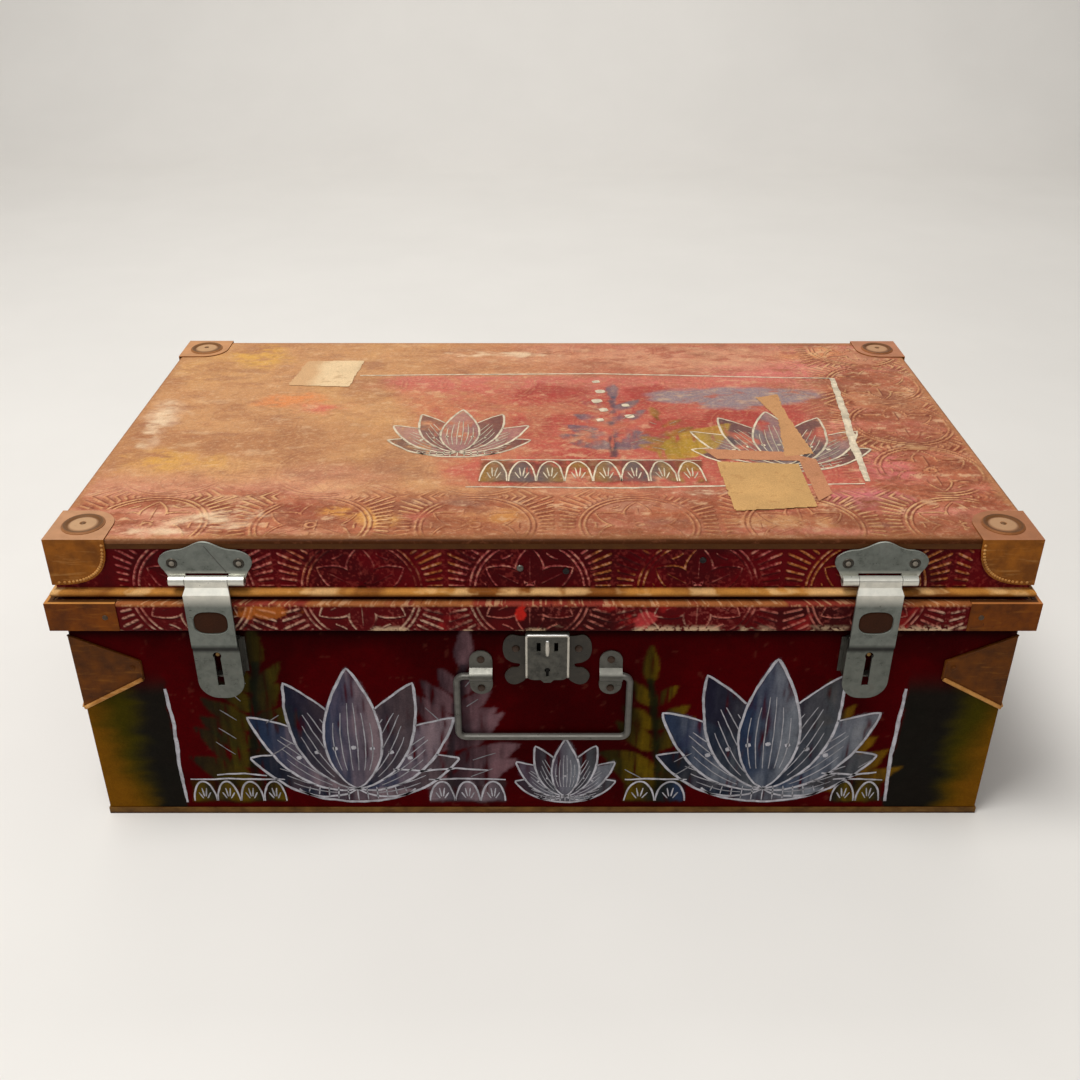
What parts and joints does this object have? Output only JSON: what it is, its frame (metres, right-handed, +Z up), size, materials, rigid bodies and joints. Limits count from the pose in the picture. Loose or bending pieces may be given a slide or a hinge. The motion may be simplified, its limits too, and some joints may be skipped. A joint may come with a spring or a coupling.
{
  "type": "metal trunk",
  "caption": "Rectangular painted sheet-metal trunk with a stepped hinged lid, hasps over keeper locks, a bail handle, corner guards and slotted lid stays.",
  "frame": {"origin": "centre of the floor pan's underside", "axes": "+X to the viewer's right along the front, +Y from the front to the hinged back, +Z up"},
  "size_m": [0.7256, 0.4241, 0.2605],
  "materials": {
    "embossed_red_paint": "worn red and tan paint on embossed sheet",
    "plain_red_paint": "dark red paint with hand-painted line work",
    "ochre_paint": "worn ochre paint",
    "zinc_plate": "dull galvanised steel",
    "steel_wire": "bare steel wire",
    "brass": "worn brass"
  },
  "bodies": {
    "base": {"base_back_wall": "plain_red_paint", "base_floor": "ochre_paint", "base_front_wall": "plain_red_paint", "base_guard_back_left": "ochre_paint", "base_guard_back_right": "ochre_paint", "base_guard_front_left": "ochre_paint", "base_guard_front_right": "ochre_paint", "base_left_wall": "plain_red_paint", "base_right_wall": "plain_red_paint", "handle_clip_left": "zinc_plate", "handle_clip_right": "zinc_plate", "hasp_keeper_left": "zinc_plate", "hasp_keeper_right": "zinc_plate", "hasp_key_post_left": "brass", "hasp_key_post_right": "brass", "hinge_base_leaf_left": "zinc_plate", "hinge_base_leaf_right": "zinc_plate", "hinge_pin_left": "steel_wire", "hinge_pin_right": "steel_wire", "lock_case": "zinc_plate", "lock_key_post": "brass", "lock_plate": "zinc_plate", "stay_stud_left": "zinc_plate", "stay_stud_right": "zinc_plate"},
    "lid": {"hasp_pin_left": "zinc_plate", "hasp_pin_right": "zinc_plate", "hasp_plate_left": "zinc_plate", "hasp_plate_right": "zinc_plate", "hinge_lid_leaf_left": "zinc_plate", "hinge_lid_leaf_right": "zinc_plate", "lid_back_skirt": "embossed_red_paint", "lid_back_wall": "embossed_red_paint", "lid_cap_back_left": "ochre_paint", "lid_cap_back_right": "ochre_paint", "lid_cap_front_left": "ochre_paint", "lid_cap_front_right": "ochre_paint", "lid_front_skirt": "embossed_red_paint", "lid_front_wall": "embossed_red_paint", "lid_left_skirt": "embossed_red_paint", "lid_left_wall": "embossed_red_paint", "lid_right_skirt": "embossed_red_paint", "lid_right_wall": "embossed_red_paint", "lid_top": "embossed_red_paint", "skirt_wrap_back_left": "ochre_paint", "skirt_wrap_back_right": "ochre_paint", "skirt_wrap_front_left": "ochre_paint", "skirt_wrap_front_right": "ochre_paint", "stay_rivet_left": "zinc_plate", "stay_rivet_right": "zinc_plate"},
    "hasp_left": {"hasp_strap_left": "zinc_plate", "hasp_tongue_left": "zinc_plate"},
    "hasp_right": {"hasp_strap_right": "zinc_plate", "hasp_tongue_right": "zinc_plate"},
    "handle": {"handle_bail": "steel_wire"},
    "stay_left": {"stay_arm_left": "zinc_plate"},
    "stay_right": {"stay_arm_right": "zinc_plate"},
    "keeper_bolt_left": {"hasp_bolt_left": "zinc_plate"},
    "keeper_bolt_right": {"hasp_bolt_right": "zinc_plate"},
    "centre_bolt": {"lock_bolt": "zinc_plate"}
  },
  "joints": [
    {"name": "lid_hinge", "type": "hinge", "parent": "base", "child": "lid", "pos_m": [0, 0.205, 0.181], "axis": [-1, 0, 0], "range_deg": [0, 100]},
    {"name": "hasp_left_swing", "type": "hinge", "parent": "lid", "child": "hasp_left", "pos_m": [-0.2425, -0.2061, 0.2269], "axis": [-1, 0, 0], "range_deg": [0, 140]},
    {"name": "hasp_right_swing", "type": "hinge", "parent": "lid", "child": "hasp_right", "pos_m": [0.2425, -0.2061, 0.2269], "axis": [-1, 0, 0], "range_deg": [0, 140]},
    {"name": "handle_swing", "type": "hinge", "parent": "base", "child": "handle", "pos_m": [0.002, -0.20395, 0.1405], "axis": [-1, 0, 0], "range_deg": [0, 160]},
    {"name": "stay_left_swing", "type": "hinge", "parent": "lid", "child": "stay_left", "pos_m": [-0.3495, 0.10861, 0.234], "axis": [-1, 0, 0], "range_deg": [-50, 0]},
    {"name": "stay_right_swing", "type": "hinge", "parent": "lid", "child": "stay_right", "pos_m": [0.3495, 0.10861, 0.234], "axis": [-1, 0, 0], "range_deg": [-50, 0]},
    {"name": "keeper_bolt_left_slide", "type": "slide", "parent": "base", "child": "keeper_bolt_left", "axis": [0, 0, 1], "range_m": [0, 0.005]},
    {"name": "keeper_bolt_right_slide", "type": "slide", "parent": "base", "child": "keeper_bolt_right", "axis": [0, 0, 1], "range_m": [0, 0.005]},
    {"name": "centre_bolt_slide", "type": "slide", "parent": "base", "child": "centre_bolt", "axis": [1, 0, 0], "range_m": [0, 0.005]}
  ],
  "couplings": [
    {"joint": "stay_left_swing", "follows": "lid_hinge", "ratio": -0.5},
    {"joint": "stay_right_swing", "follows": "lid_hinge", "ratio": -0.5}
  ]
}
